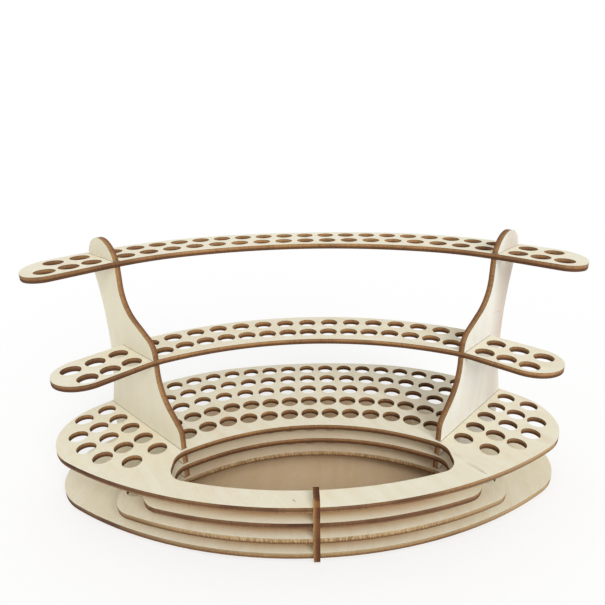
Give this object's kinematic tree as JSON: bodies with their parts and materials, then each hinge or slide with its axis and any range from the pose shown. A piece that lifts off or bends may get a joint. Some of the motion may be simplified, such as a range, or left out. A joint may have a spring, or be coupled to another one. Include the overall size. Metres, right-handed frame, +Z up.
{
  "type": "pencil and brush holder",
  "caption": "Bow-shaped plywood desk holder with a holed deck, a tray opening and two raised tiers of pencil holes on curved uprights.",
  "frame": {"origin": "middle of the footprint, on the surface that the feet stand on", "axes": "+X to the right as seen from the front, +Y to the back, +Z up; the tray opening is at the front, towards -Y"},
  "size_m": [0.2532, 0.1272, 0.1215],
  "materials": {
    "birch_ply": "unfinished sanded birch plywood with laser-browned edges"
  },
  "bodies": {
    "root": {"base_plate": "birch_ply", "lower_ring": "birch_ply", "upper_ring": "birch_ply", "deck": "birch_ply", "mid_tier": "birch_ply", "top_tier": "birch_ply", "left_upright": "birch_ply", "right_upright": "birch_ply", "front_clip": "birch_ply"}
  },
  "joints": []
}
